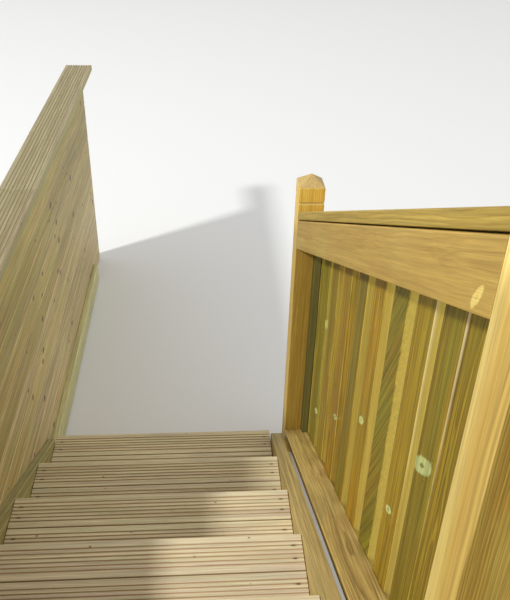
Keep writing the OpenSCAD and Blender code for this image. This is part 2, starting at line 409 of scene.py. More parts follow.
def knots(tree, grain, sizes, cells=KNOT_CELLS):
    """sizes is the share of cells that hold a knot, its smallest and its largest radius. Returns the
    distance from the nearest knot in knot radii, far away where there is none, and a mask that
    fades to 0 on the borders between cells."""
    share, smallest, largest = sizes
    scaled = vectors(tree, "MULTIPLY", grain, cells)
    inputs = {"Vector": scaled, "Scale": 1.0}
    points = add(tree, "ShaderNodeTexVoronoi", inputs, voronoi_dimensions="2D")
    border = add(tree, "ShaderNodeTexVoronoi", inputs, voronoi_dimensions="2D", feature="DISTANCE_TO_EDGE")
    away = vectors(tree, "SUBTRACT", scaled, points.outputs["Position"])
    away = vectors(tree, "MULTIPLY", away, (KNOT_LENGTHENED / cells[0], 1.0 / cells[1], 0.0))
    parts = add(tree, "ShaderNodeSeparateColor", {"Color": points.outputs["Color"]}).outputs
    size = maths(tree, "MULTIPLY_ADD", parts["Green"], largest - smallest, smallest)
    ragged = maths(tree, "SUBTRACT", noise(tree, grain, RAGGED_WAVES, detail=2.0), 0.5)
    reach = maths(tree, "MULTIPLY_ADD", ragged, smallest, vectors(tree, "LENGTH", away))
    missing = maths(tree, "MULTIPLY", maths(tree, "GREATER_THAN", parts["Red"], share), FAR_AWAY)
    mask = between(tree, border.outputs["Distance"], 0.0, 0.12)
    return maths(tree, "ADD", maths(tree, "DIVIDE", reach, size), missing), mask


def nearest_knot(tree, grain, sizes):
    """The distance from the nearest knot of either kind, its cell's mask, and how far the rings swell."""
    by_chance, inside_cell = knots(tree, grain, sizes)
    by_hand = vectors(tree, "MULTIPLY_ADD", jitter(tree, grain, RAGGED_WAVES), RAGGED_BY_HAND,
                      attribute(tree, "branch"))
    by_hand = vectors(tree, "LENGTH", by_hand)
    nearest = maths(tree, "MINIMUM", by_chance, by_hand)
    inside_cell = maths(tree, "MAXIMUM", inside_cell, between(tree, by_hand, 4.0, 5.0, 1.0, 0.0))
    swelling = maths(tree, "MULTIPLY", between(tree, nearest, 0.0, 4.5, 1.0, 0.0), inside_cell)
    return nearest, inside_cell, swelling


# %% [markdown]
# ### Growth rings
#
# The distance from the pith gives the growth rings: pale early wood that darkens slowly and ends in
# a thin dark line of late wood. Slow noise bends the grain first, so that a flat-sawn face shows
# arches, and the rings swell around a knot. Years differ in width, and the line fades in patches.

# %% Bent grain and rings
BEND_WAVES = (0.9, 6, 6)
WOBBLE_WAVES = (7, 40, 40)
YEAR_WAVES = (0, 70, 0)
FADED_WAVES = (0.8, 14, 14)
YEARS_SHIFTED = 4.0


def bent_grain(tree, grain, wander):
    """The grain pushed sideways by a slow and by a quicker noise."""
    slow, quick = wander * 2, wander * 0.12
    bent = vectors(tree, "MULTIPLY_ADD", jitter(tree, grain, BEND_WAVES), (0.0, slow, slow), grain)
    return vectors(tree, "MULTIPLY_ADD", jitter(tree, grain, WOBBLE_WAVES), (0.0, quick, quick), bent)


def ring_lines(tree, grain, bent, swelling, width):
    """1 on the dark line that ends each year, 0 in pale wood. width is how thick a year is."""
    radius = vectors(tree, "LENGTH", vectors(tree, "MULTIPLY", bent, (0.0, 1.0, 1.0)))
    outwards = add(tree, "ShaderNodeCombineXYZ", {"Y": radius}).outputs[0]
    uneven = noise(tree, outwards, YEAR_WAVES, detail=2.0)
    turns = maths(tree, "MULTIPLY_ADD", uneven, YEARS_SHIFTED, maths(tree, "DIVIDE", radius, width))
    turns = maths(tree, "MULTIPLY_ADD", swelling, YEARS_SHIFTED, turns)
    year = maths(tree, "FRACT", turns)
    darkening, ending = between(tree, year, 0.2, 0.85), between(tree, year, 0.9, 1.0, 1.0, 0.0)
    line = maths(tree, "MULTIPLY", darkening, ending)
    patchy = between(tree, noise(tree, grain, FADED_WAVES, detail=2.0), 0.3, 0.7, 0.4, 1.0)
    return maths(tree, "MULTIPLY", line, patchy)


# %% [markdown]
# ### What a finish says
#
# Every finish starts from plain timber and names only what differs. Colours are as seen on a screen:
# pale and deep are the two ends of the boards' tints, late is the dark part of each ring, and the
# stains come in broad patches. ring is the width of a year, wander how far the grain bends, and knot
# the share of cells that hold one with its smallest and largest radius. spread is how much boards
# differ in shade, contrast how strong the fine figure is. A painted shade near the ground is set by the
# height it reaches and how dark it gets there, and end_light is painted light or shade at a board's
# upper or far end: the length where it changes and how far.
# arris and side are how much of edge_colour the arrises and the narrow sides take; an arris stands
# for wear and for a painted highlight, and without an edge colour the arrises only get that painted
# highlight. Then the patterns that all finishes share are laid out.

# %% Plain timber and its patterns
PLAIN = dict(
    ring=0.0035, ring_depth=0.55, wander=0.012, knot=(0.35, 0.004, 0.011), knot_colour=(92, 62, 34),
    halo=None, pins=0.0, streaks=0.35, streak_waves=75, second_stain=None, stains=0.35, stain_waves=9,
    spread=0.16, contrast=0.24, marks=None, screws=None, cracks=0.0, damp=None, end_light=None,
    roughness=0.62, end_shade=0.72, end_colour=None, edge_colour=None, arris=0.25, side=0.0)
FIBRE_WAVES = (9, 620, 620)
FIGURE_WAVES = (2.2, 170, 170)
DRIFT_WAVES = (0.5, 22, 22)
STREAK_LENGTHWISE = 1.1
STAIN_LENGTHWISE = 2.2


def patterns(tree, look):
    """Reads what sawn wrote, and makes every pattern that the colours and the light come from."""
    wood = SimpleNamespace(grain=attribute(tree, "grain"))
    wood.board = parted(tree, attribute(tree, "board"))
    wood.face = parted(tree, attribute(tree, "face"))
    wood.spot = parted(tree, attribute(tree, "place"))
    wood.bent = bent_grain(tree, wood.grain, look.wander)
    wood.knotty, wood.inside_cell, swelling = nearest_knot(tree, wood.grain, look.knot)
    wood.ring_line = ring_lines(tree, wood.grain, wood.bent, swelling, look.ring)
    wood.fibre = noise(tree, wood.bent, FIBRE_WAVES, detail=2.0, rough=0.6)
    streak_stretch = (STREAK_LENGTHWISE, look.streak_waves, look.streak_waves)
    wood.streak = noise(tree, wood.bent, streak_stretch, rough=0.6)
    wood.figure = noise(tree, wood.bent, FIGURE_WAVES, detail=4.0, rough=0.7)
    wood.drift = noise(tree, wood.bent, DRIFT_WAVES, detail=2.0)
    stain_stretch = (STAIN_LENGTHWISE, look.stain_waves, look.stain_waves)
    patch = noise(tree, wood.grain, stain_stretch, detail=4.0, rough=0.65, colour=True)
    wood.patches = add(tree, "ShaderNodeSeparateColor", {"Color": patch}).outputs
    return wood


print("a finish can say", len(PLAIN), "things beside its four colours")

# %% [markdown]
# ### Colours
#
# Colours are laid over each other as on the real board: its own tint, which drifts a little along
# the grain, then streaks, stains and the late wood of each ring. A knot has a paler heart, and in
# treated wood a light halo. Small pin knots are a second, finer set of knots.

# %% Colours of the wood and its knots
PIN_KNOT_CELLS = (7.0, 20.0, 0.0)
PIN_KNOT_RADII = (0.0012, 0.003)
CORE_IN_HALO = 0.55
HEART_PALER = 1.45


def board_colour(tree, wood, look):
    """The board's own tint, then streaks, stains and late wood."""
    drift = maths(tree, "MULTIPLY_ADD", wood.drift, 1.6, -0.8)
    tint = maths(tree, "ADD", wood.board["X"], drift, clamp=True)
    colour = mixed(tree, tint, linear(*look.pale), linear(*look.deep))
    colour = painted(tree, between(tree, wood.streak, 0.4, 0.7), colour, look.late, look.streaks)
    for part, stain in (("Red", look.stain), ("Green", look.second_stain)):
        if stain:
            blotch = between(tree, wood.patches[part], 0.48, 0.68)
            colour = painted(tree, blotch, colour, stain, look.stains)
    return painted(tree, wood.ring_line, colour, look.late, look.ring_depth)


def knot_colours(tree, wood, look, colour):
    """The halo, if there is one, then each knot with its heart, and the pin knots."""
    if look.halo:
        around = between(tree, wood.knotty, 1.9, 2.7, 0.85, 0.0)
        colour = painted(tree, maths(tree, "MULTIPLY", around, wood.inside_cell), colour, look.halo)
    core = CORE_IN_HALO if look.halo else 1.0
    eye = between(tree, wood.knotty, 0.75 * core, 1.25 * core, 0.85, 0.0)
    colour = painted(tree, eye, colour, look.knot_colour)
    heart = between(tree, wood.knotty, 0.1, 0.75 * core, 0.45, 0.0)
    colour = painted(tree, heart, colour, [min(255, c * HEART_PALER) for c in look.knot_colour])
    if look.pins:
        pin = knots(tree, wood.grain, (look.pins, *PIN_KNOT_RADII), PIN_KNOT_CELLS)[0]
        colour = painted(tree, between(tree, pin, 0.7, 1.6, 0.75, 0.0), colour, look.knot_colour)
    return colour


# %% [markdown]
# ### Weather, and painted light and shade
#
# Fine splits open along the grain, and a dark spot lies around every screw: partly stain, partly
# painted shade in the groove round the head. The grooves of the deck boards and the cap are lit up
# with painted light against the shade in them, the left string's top edge is darker with painted
# shade and some dirt, two upright boards have a painted highlight along one edge, and one newel has a
# strip of sapwood. Where such a mark lies, a mask in the board attribute says.

# %% Cracks, marks and screw spots
SPLIT_WAVES = (2.5, 210, 210)
SPLIT_DARKER = 0.45
MARK_MOTTLE_WAVES = (14, 40, 40)
SCREW_SPOT = (78, 66, 44)
SCREW_SPOT_LENGTHENED = 0.45


def weather_and_painted_marks(tree, wood, look, colour):
    """Lays cracks, the marks (painted light and shade, some dirt, sapwood) and the spots around screws
    over the colour.
    """
    if look.cracks:
        split = between(tree, noise(tree, wood.bent, SPLIT_WAVES, detail=1.0), 0.70, 0.735)
        split = maths(tree, "MULTIPLY", split, between(tree, wood.patches["Blue"], 0.5, 0.6))
        colour = painted(tree, split, colour, [c * SPLIT_DARKER for c in look.late], look.cracks)
    # The marks: painted light in grooves, painted shade with some dirt on the left string's top edge, a
    # painted highlight on two boards, sapwood on a newel.
    if look.marks:
        dirt_and_painted_light = between(tree, noise(tree, wood.grain, MARK_MOTTLE_WAVES), 0.3, 0.7, 0.7, 1.0)
        colour = painted(tree, maths(tree, "MULTIPLY", wood.board["Z"], dirt_and_painted_light), colour, look.marks)
    if look.screws:
        end_inset, row = look.screws
        from_end = maths(tree, "SUBTRACT", wood.spot["Z"], maths(tree, "ABSOLUTE", wood.spot["X"]))
        from_end = maths(tree, "SUBTRACT", from_end, end_inset)
        from_row = maths(tree, "SUBTRACT", maths(tree, "ABSOLUTE", wood.spot["Y"]), row)
        from_end = maths(tree, "MULTIPLY", from_end, SCREW_SPOT_LENGTHENED)
        off = add(tree, "ShaderNodeCombineXYZ", {"X": from_end, "Y": from_row}).outputs[0]
        spot = between(tree, vectors(tree, "LENGTH", off), 0.0015, 0.006, 0.55, 0.0)
        # Partly stain, partly painted shade in the groove round the screw head.
        colour = painted(tree, spot, colour, SCREW_SPOT)
    return colour


# %% [markdown]
# ### Light, dark and edges
#
# Fibres, a soft figure and the end grain make wood lighter or darker without changing its hue, and so
# do the painted shade at the foot and the painted light or shade at an end, so they are factors of one
# grey that the colour is multiplied with. Edges come last, because their colour lies over everything
# below: partly wear, where hands and feet rub, and partly a painted highlight where an edge catches the
# light.

# %% Lightness and worn edges
EDGE_PATCH_WAVES = (6, 30, 30)


def lightness(tree, wood, look):
    """The board's own shade, times its fibres, figure, a painted shade at the foot,
    painted light or shade at the far end, and end grain.
    """
    light = maths(tree, "MULTIPLY_ADD", wood.board["Y"], look.spread, 1.0 - look.spread / 2)
    factors = [between(tree, wood.fibre, 0.2, 0.8, 0.84, 1.12),
               between(tree, wood.figure, 0.32, 0.68, 1.0 - look.contrast, 1.0 + look.contrast)]
    # Painted shade: darker towards the ground.
    if look.damp:
        height = parted(tree, add(tree, "ShaderNodeTexCoord").outputs["Object"])["Z"]
        factors.append(between(tree, height, 0.0, look.damp[0], look.damp[1], 1.0))
    # Painted light or shade near a board's upper or far end.
    if look.end_light:
        length, strength = look.end_light
        from_end = maths(tree, "SUBTRACT", wood.spot["Z"], wood.spot["X"])
        factors.append(between(tree, from_end, length * 0.8, length * 1.2, strength, 1.0))
    factors.append(between(tree, wood.face["X"], 0.0, 1.0, 1.0, look.end_shade))
    for factor in factors:
        light = maths(tree, "MULTIPLY", light, factor)
    return light


def lit_and_worn_edges(tree, wood, look, colour, light):
    """Gives the arrises, worn and with a painted highlight, and the narrow sides their colour; without
    an edge colour the arrises only get more light, a painted highlight.
    """
    # The arris mask, broken into patches: wear, and a painted highlight where an edge catches the light.
    edge_patches = between(tree, noise(tree, wood.grain, EDGE_PATCH_WAVES), 0.35, 0.6, 0.4, 1.0)
    lit_and_worn = maths(tree, "MULTIPLY", wood.face["Z"], edge_patches)
    if not look.edge_colour:
        # Without an edge colour, a painted highlight: the arrises are only made lighter.
        shine = maths(tree, "MULTIPLY_ADD", lit_and_worn, look.arris, 1.0)
        return colour, maths(tree, "MULTIPLY", light, shine)
    arrises = maths(tree, "MULTIPLY", lit_and_worn, look.arris)
    sides = maths(tree, "MULTIPLY", wood.face["Y"], look.side)
    edges = maths(tree, "MAXIMUM", arrises, sides)
    evened = maths(tree, "MULTIPLY_ADD", edges, maths(tree, "SUBTRACT", 1.0, light), light)
    return painted(tree, edges, colour, look.edge_colour), evened


# %% [markdown]
# ### The recipe
#
# The recipe only calls these steps in order. The wood is a little duller along its streaks, and a
# bump raises rings and fibres, which are finer than any mesh. Its gloss is one number for the whole
# surface, so it is set on the shader itself.

# %% The timber recipe
END_COLOUR_SHARE = 0.6
ROUGH_STREAKS = 0.22
RING_RELIEF, FIBRE_RELIEF = 0.35, 0.65
RELIEF_HEIGHT, RELIEF_STRENGTH = 0.0006, 0.5
SHINE = 0.35


def timber(name, **own):
    """A timber finish that is plain but for what is named."""
    look = SimpleNamespace(**{**PLAIN, **own})
    finish = bpy.data.materials.new(name)
    finish.use_nodes = True
    tree = finish.node_tree
    shader = tree.nodes["Principled BSDF"]
    wood = patterns(tree, look)
    colour = weather_and_painted_marks(tree, wood, look, knot_colours(tree, wood, look, board_colour(tree, wood, look)))
    colour, light = lit_and_worn_edges(tree, wood, look, colour, lightness(tree, wood, look))
    if look.end_colour:
        colour = painted(tree, wood.face["X"], colour, look.end_colour, END_COLOUR_SHARE)
    grey = add(tree, "ShaderNodeCombineColor", {"Red": light, "Green": light, "Blue": light}).outputs[0]
    tree.links.new(mixed(tree, 1.0, colour, grey, "MULTIPLY"), shader.inputs["Base Color"])

    off_middle = maths(tree, "SUBTRACT", wood.streak, 0.5)
    dull = maths(tree, "MULTIPLY_ADD", off_middle, ROUGH_STREAKS, look.roughness)
    tree.links.new(dull, shader.inputs["Roughness"])
    fibres = maths(tree, "MULTIPLY", wood.fibre, FIBRE_RELIEF)
    relief = maths(tree, "MULTIPLY_ADD", wood.ring_line, RING_RELIEF, fibres)
    inputs = {"Height": relief, "Strength": RELIEF_STRENGTH, "Distance": RELIEF_HEIGHT}
    tree.links.new(add(tree, "ShaderNodeBump", inputs).outputs[0], shader.inputs["Normal"])
    shader.inputs["Specular IOR Level"].default_value = SHINE
    return finish


# %% [markdown]
# ### The finishes
#
# The boards come from the same yard but look different: the treads and the wall's cap have gone
# pale and grey-brown in the weather. The newels and the plank are honey coloured; the newels are
# lighter at the top, partly paler wood and partly painted light, and a pale patch on the plank is a
# painted reflection. The upright boards are green and golden from their treatment, each its own
# shade, and the battens beside them are dark, a painted shade. The wall is smooth, from olive to
# pinkish tan, and a little darker towards its far end, a painted shade. The screws' places are
# needed first, because they spot the deck boards.

# %% Deck boards, frame and strings
GROOVE_PITCH = 0.0144
SCREW_FROM_END = 0.025
SCREW_ROW = 1.5 * GROOVE_PITCH
DECK = dict(ring=0.004, ring_depth=0.35, streaks=0.55, streak_waves=110, spread=0.12, contrast=0.14,
            screws=(SCREW_FROM_END, SCREW_ROW), roughness=0.72)
# The marks paint light into the grooves of the deck and cap boards, against the shade that falls in them.
weathered = timber(
    "weathered deck board", pale=(228, 215, 174), deep=(215, 200, 166), late=(178, 160, 122),
    stain=(184, 162, 147), second_stain=(192, 193, 153), stains=0.6, stain_waves=45,
    marks=(232, 210, 172), knot=(0.2, 0.003, 0.008), knot_colour=(104, 80, 54), pins=0.25,
    edge_colour=(164, 128, 82), arris=0.0, side=0.6, **DECK)
cap_board = timber(
    "weathered cap board", pale=(164, 151, 121), deep=(156, 141, 110), late=(122, 105, 79),
    stain=(127, 107, 82), second_stain=(160, 155, 118), stains=0.65, stain_waves=40,
    marks=(206, 190, 152), knot=(0.25, 0.003, 0.008), knot_colour=(88, 68, 46), pins=0.35,
    edge_colour=(176, 172, 118), arris=0.1, side=0.8, **DECK)
riser_wood = timber(
    "sawn riser", pale=(178, 156, 112), deep=(164, 142, 98), late=(128, 104, 66), stain=(150, 134, 88))
frame_wood = timber(
    "frame timber", pale=(170, 156, 98), deep=(154, 142, 84), late=(118, 102, 56), stain=(134, 130, 76))
# Both strings are darker towards the ground, a painted shade.
string_wood = timber(
    "string timber", pale=(192, 169, 106), deep=(180, 157, 92), late=(139, 114, 60), stain=(159, 144, 84),
    second_stain=(188, 161, 104), streaks=0.55, stains=0.5, contrast=0.3, cracks=0.5, damp=(0.5, 0.56))
# The left string's marks paint shade, with some dirt, on its top edge.
left_string_wood = timber(
    "left string timber", pale=(190, 181, 121), deep=(182, 171, 111), late=(143, 131, 78),
    stain=(158, 152, 96), contrast=0.3, marks=(142, 132, 83), damp=(0.2, 0.82), arris=0.0)
print("finishes so far:", len(bpy.data.materials))

# %% Railing
# The newels are lighter at the top (end_light): partly paler wood, partly painted light.
newel_wood = timber(
    "honey newel", pale=(190, 167, 83), deep=(190, 151, 60), late=(140, 104, 35), stain=(173, 143, 55),
    second_stain=(193, 181, 90), ring=0.0052, ring_depth=0.7, wander=0.022, spread=0.2, contrast=0.16,
    cracks=0.5, streaks=0.3, knot=(0.0, 0.004, 0.009), end_light=(0.2, 1.65), end_shade=0.5,
    marks=(202, 180, 108), end_colour=(214, 186, 126), edge_colour=(212, 186, 116), arris=0.4, side=0.35)
handrail_wood = timber(
    "handrail timber", pale=(171, 146, 64), deep=(163, 135, 54), late=(125, 99, 34), stain=(151, 127, 51),
    ring=0.005, ring_depth=0.45, wander=0.024, spread=0.06, contrast=0.18, cracks=0.4,
    knot=(0.14, 0.004, 0.009))
# The plank's halo colour paints a reflection near its upper end, round a placed knot.
plank_wood = timber(
    "rail plank", pale=(171, 143, 69), deep=(164, 133, 61), late=(131, 96, 39), stain=(162, 131, 64),
    second_stain=(175, 153, 81), ring=0.0055, ring_depth=0.3, wander=0.02, streaks=0.25, spread=0.06,
    contrast=0.1, knot=(0.0, 0.004, 0.009), knot_colour=(172, 146, 78), halo=(208, 184, 104), arris=0.45)
bottom_rail_wood = timber(
    "bottom rail timber", pale=(193, 166, 94), deep=(181, 152, 83), late=(127, 99, 46),
    stain=(159, 134, 79), second_stain=(197, 176, 106), ring=0.0055, ring_depth=0.75, wander=0.026,
    streaks=0.4, stains=0.5, spread=0.06, contrast=0.28, knot=(0.12, 0.004, 0.009), arris=0.35)
# On the upright boards, marks is the colour of a painted highlight along two boards' edges, and the pale
# arrises are partly a painted highlight.
infill_wood = timber(
    "green upright board", pale=(176, 134, 26), deep=(137, 128, 32), late=(96, 77, 10),
    stain=(125, 119, 26), second_stain=(152, 106, 18), ring=0.0045, ring_depth=0.7, wander=0.018,
    streaks=0.75, streak_waves=130, stains=0.4, spread=0.4, contrast=0.3, halo=(186, 196, 126),
    knot=(0.06, 0.005, 0.009), knot_colour=(100, 94, 48), cracks=0.6, marks=(250, 242, 222),
    edge_colour=(222, 196, 92), arris=0.75, side=0.75)
# The battens are painted dark for the shade that lies on them; their pale arrises are partly a painted
# highlight.
shaded_batten_wood = timber(
    "green batten", pale=(88, 84, 34), deep=(80, 74, 26), late=(60, 54, 16), stain=(74, 76, 30),
    edge_colour=(160, 146, 76), arris=0.5, side=0.2)
print("finishes so far:", len(bpy.data.materials))

# %% Wall
# The wall's boards are darker towards their far end (end_light), a painted shade; their pale arrises are
# partly a painted highlight.
cladding_wood = timber(
    "smooth cladding", pale=(193, 173, 66), deep=(226, 202, 152), late=(172, 149, 94),
    stain=(214, 170, 112), second_stain=(188, 186, 108), ring=0.005, ring_depth=0.4, streaks=0.65,
    stains=0.6, stain_waves=30, spread=0.85, contrast=0.3, knot=(0.7, 0.005, 0.015),
    knot_colour=(96, 62, 20), pins=0.12, roughness=0.5, end_light=(1.15, 0.82),
    edge_colour=(238, 226, 164), arris=0.85, side=0.5)
plinth_wood = timber(
    "pale plinth", pale=(203, 198, 143), deep=(197, 189, 134), late=(157, 149, 97), stain=(177, 178, 123),
    ring_depth=0.35, knot=(0.2, 0.003, 0.006), roughness=0.5)
print("finishes:", len(bpy.data.materials))

# %% [markdown]
# ## The grooved deck board
#
# A deck board is planed with grooves along its length, for grip, and has rounded edges. The groove
# is the same all along, so the board is easiest as a section: a plane the size of the board's end,
# cut by bisect where each groove starts and stops, with the cut-out squares deleted, the bottoms
# drawn together, and the whole extruded to the board's length. Boolean cuts would do it too, but
# they leave untidy faces.

# %% The section of a deck board
BOARD_WIDTH = 0.120
BOARD_GAP = 0.004
BOARD_STEP = BOARD_WIDTH + BOARD_GAP
GROOVES = 6
GROOVE_WIDTH = 0.0055
GROOVE_DEPTH = 0.0035
GROOVE_NARROWED = GROOVE_WIDTH / 4
board_thickness = tread_low[1].z - tread_low[0].z


def groove_middles(width, count):
    """Where the grooves' middles are, measured back from the board's front edge."""
    first = (width - (count - 1) * GROOVE_PITCH) / 2
    return [-first - number * GROOVE_PITCH for number in range(count)]


def end_section(name, width):
    """A plane that stands across the board's length, the size of its end."""
    bpy.ops.object.select_all(action="DESELECT")
    bpy.ops.mesh.primitive_plane_add(
        size=1, rotation=(0, math.pi / 2, 0), location=(0, -width / 2, board_thickness / 2))
    thing = bpy.context.object
    thing.name = name
    thing.scale = (board_thickness, width, 1)
    bpy.ops.object.transform_apply(location=True, rotation=True, scale=True)
    return thing


print("groove middles:", [round(middle, 4) for middle in groove_middles(BOARD_WIDTH, GROOVES)])

# %% Cut the grooves and draw the board out
BOARD_ROUNDING = 0.002
GROOVE_ROUNDING = 0.0009
CLOSE = 0.0001


def deck_board(name, length, width=BOARD_WIDTH, count=GROOVES):
    """A grooved board from x = 0 to length, its front edge at y = 0 and its underside at z = 0."""
    thing = end_section(name, width)
    opened(thing)
    floor = board_thickness - GROOVE_DEPTH
    bpy.ops.mesh.bisect(plane_co=(0, 0, floor), plane_no=(0, 0, 1))
    middles = groove_middles(width, count)
    for middle in middles:
        for side in (-GROOVE_WIDTH / 2, GROOVE_WIDTH / 2):
            bpy.ops.mesh.select_all(action="SELECT")
            bpy.ops.mesh.bisect(plane_co=(0, middle + side, 0), plane_no=(0, 1, 0))

    def in_groove(place):
        return min(abs(place.y - middle) for middle in middles) < GROOVE_WIDTH / 2 + CLOSE

    pick(thing, "FACE", lambda f: f.calc_center_median().z > floor and in_groove(f.calc_center_median()))
    bpy.ops.mesh.delete(type="FACE")
    for side in (-1, 1):
        pick(thing, "VERT", lambda v: abs(v.co.z - floor) < CLOSE and any(
            abs(v.co.y - middle - side * GROOVE_WIDTH / 2) < CLOSE for middle in middles))
        bpy.ops.transform.translate(value=(0, -side * GROOVE_NARROWED, 0))
    pick(thing, "VERT", lambda v: v.co.z > floor + CLOSE and (v.co.y > -CLOSE or v.co.y < CLOSE - width))
    bpy.ops.mesh.bevel(offset=BOARD_ROUNDING, segments=3, affect="VERTICES")
    bpy.ops.mesh.select_all(action="SELECT")
    bpy.ops.mesh.extrude_region_move(TRANSFORM_OT_translate={"value": (length, 0, 0)})
    bpy.ops.mesh.select_all(action="SELECT")
    bpy.ops.mesh.normals_make_consistent(inside=False)
    closed()
    eased(thing, GROOVE_ROUNDING, segments=1)
    return sawn(thing, X_AXIS, Y_AXIS, marked=lambda p: abs(p.z - floor) < GROOVE_DEPTH / 2 and in_groove(p))


tread_board = deck_board("tread board", tread_low[1].x - tread_low[0].x)
print(f"deck board: {len(tread_board.data.polygons)} faces, {corners(tread_board)[1].x:.3f} m long")

# %% [markdown]
# ## Treads
#
# Each tread is three boards, of which the third runs back under the step above. All fifteen have
# one shape, so a single board is modelled and copied. The copies still look different, because
# each is sawn from another place in the log.

# %% Lay the treads
BOARDS_IN_TREAD = 3


def laid(name, pattern, node, count):
    """Copies of a board, laid from a node's front edge back."""
    low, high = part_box(node)
    boards = []
    for number in range(count):
        front = (low.x, high.y - number * BOARD_STEP, low.z)
        boards.append(copied(pattern, f"{name} {number}", front))
    return dressed(joined(name, boards), node, weathered)


for number in range(1, STEPS + 1):
    laid(f"grooved_tread_{number}", tread_board, f"tread_{number}", BOARDS_IN_TREAD)
bpy.data.objects.remove(tread_board)

# %% Lay the landing
landing_low, landing_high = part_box("landing_boards")
landing_board = deck_board("landing board", landing_high.x - landing_low.x)
landing_count = round((landing_high.y - landing_low.y + BOARD_GAP) / BOARD_STEP)
laid("grooved_landing", landing_board, "landing_boards", landing_count)
bpy.data.objects.remove(landing_board)

# %% [markdown]
# ## Wall cap
#
# The wall's cap is the same kind of board, a little wider, with eight grooves, turned to run along
# the wall. Three lengths are laid end to end. The board is built lying along X and then turned a
# quarter, and the turn is applied so that the object itself stays unturned.

# %% Cap boards
CAP_GROOVES = 8
CAP_JOINT = 0.002
CAP_JOINT_FROM_NOSING = 0.350
cap_low, cap_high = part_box("wall_cap")
joint_near = tread_low[1].y + CAP_JOINT_FROM_NOSING
joint_far = (cap_low.y + joint_near) / 2
cap_ends = [cap_low.y, joint_far, joint_near, cap_high.y + CAP_JOINT]
cap_boards = []
for number, (start, end) in enumerate(zip(cap_ends, cap_ends[1:])):
    length = end - CAP_JOINT - start
    piece = deck_board(f"cap board {number}", length, cap_high.x - cap_low.x, CAP_GROOVES)
    piece.location = (cap_high.x, start + length, cap_low.z)
    piece.rotation_euler = (0, 0, -math.pi / 2)
    alone(piece)
    bpy.ops.object.transform_apply(location=True, rotation=True, scale=True)
    cap_boards.append(piece)
wall_cap = dressed(joined("grooved_wall_cap", cap_boards), "wall_cap", cap_board)
print("cap lies from y =", round(corners(wall_cap)[0].y, 3), "to", round(corners(wall_cap)[1].y, 3))

# %% [markdown]
# ## Risers and frame
#
# The risers stand on edge behind the nosings, and the landing's beams and joists lie under its
# boards. They are plain sawn timber: cubes stretched over their nodes, with eased edges. A wall post
# is cut from nearer the heart, so its pith is closer.

# %% Risers, beams, joists and wall posts
WALL_POST_PITH = (0, 0.03)
for number in range(1, STEPS + 2):
    plain_timber(f"riser_board_{number}", f"riser_{number}", X_AXIS, Z_AXIS, riser_wood)

plain_timber("landing_front_beam_timber", "landing_front_beam", X_AXIS, Z_AXIS, frame_wood)
for node in ("landing_side_beam", "landing_ledger", "landing_joist_1", "landing_joist_2"):
    plain_timber(node + "_timber", node, Y_AXIS, Z_AXIS, frame_wood)
for node in sorted(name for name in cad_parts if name.startswith("wall_post_")):
    plain_timber(node + "_timber", node, Z_AXIS, X_AXIS, frame_wood, pith=WALL_POST_PITH)

# %% [markdown]
# ## Strings and back beam
#
# The strings have six corners and the back beam has bolt holes, so their CAD shapes are right as
# they are. A copy of the imported mesh is merged, because it comes as loose triangles, its flat faces
# are dissolved into one each, and its edges are eased as on the other timbers. On the left string,
# the edge that follows the line of the nosings is darker: a painted shade on its top, with some dirt.

# %% Timbers taken from the imported shape
MERGED_WITHIN = 0.00002
FLAT_WITHIN = math.radians(1)
STRING_PITH = (0.02, 0.10)
BACK_BEAM_ARRIS = 0.0015


def taken(name, node):
    """A copy of a node's mesh, merged and with whole flat faces."""
    alone(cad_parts[node])
    bpy.ops.object.duplicate()
    thing = bpy.context.object
    thing.name = name
    thing.parent = None
    for key in [key for key in thing.keys() if key.startswith("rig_")]:
        del thing[key]
    opened(thing)
    bpy.ops.mesh.remove_doubles(threshold=MERGED_WITHIN)
    bpy.ops.mesh.dissolve_limited(angle_limit=FLAT_WITHIN)
    closed()
    return thing


def on_top_edge(place):
    """True on the edge that follows the line of the nosings."""
    line = tread_low[1].z - SLOPE * (place.y - tread_low[1].y)
    return place.z > line - ARRIS / 2


right_string = sawn(eased(taken("right_string", "stringer_right")), DOWN_THE_STAIR, X_AXIS, STRING_PITH)
dressed(right_string, "stringer_right", string_wood)
left_string = eased(taken("left_string", "stringer_left"))
# The top edge is marked for a painted shade, with some dirt.
sawn(left_string, DOWN_THE_STAIR, X_AXIS, STRING_PITH, marked=on_top_edge)
dressed(left_string, "stringer_left", left_string_wood)
back_beam = eased(taken("landing_back_beam_timber", "landing_back_beam"), BACK_BEAM_ARRIS)
dressed(sawn(back_beam, X_AXIS, Z_AXIS), "landing_back_beam", frame_wood)

# %% [markdown]
# ## Battens
#
# Some nodes hold several boards, as the battens under the treads. The merged copy of such a node
# falls apart into its boards, because they don't touch, and each can then be sawn from its own place
# in the log. They are sorted from the foot of the stair up, so that every run gives the same board
# the same grain.


# %% Battens
def taken_apart(name, node):
    """The boards of a node as separate objects, the furthest along +Y and the lowest first."""
    opened(taken(name, node))
    bpy.ops.mesh.separate(type="LOOSE")
    closed()
    boards = sorted(bpy.context.selected_objects, key=lambda b: (-round(corners(b)[1].y, 3), corners(b)[0].z))
    for number, thing in enumerate(boards, 1):
        thing.name = f"{name} {number}"
    print(f"{node}: {len(boards)} boards")
    return boards


for side in ("right", "left"):
    battens = [sawn(eased(b), Y_AXIS, X_AXIS) for b in taken_apart(f"batten_{side}", f"tread_battens_{side}")]
    dressed(joined(f"battens_{side}", battens), f"tread_battens_{side}", frame_wood)

# %% [markdown]
# ## Newel posts
#
# A newel is a square post with a low pyramid on top, which sheds the rain, and a fine groove around
# it a little above the handrail. A cube makes the shaft, its top face is extruded by the pyramid's
# height, and the new face is merged to one point. For the groove the post is cut by bisect at three
# heights, and the middle cut is scaled inwards.

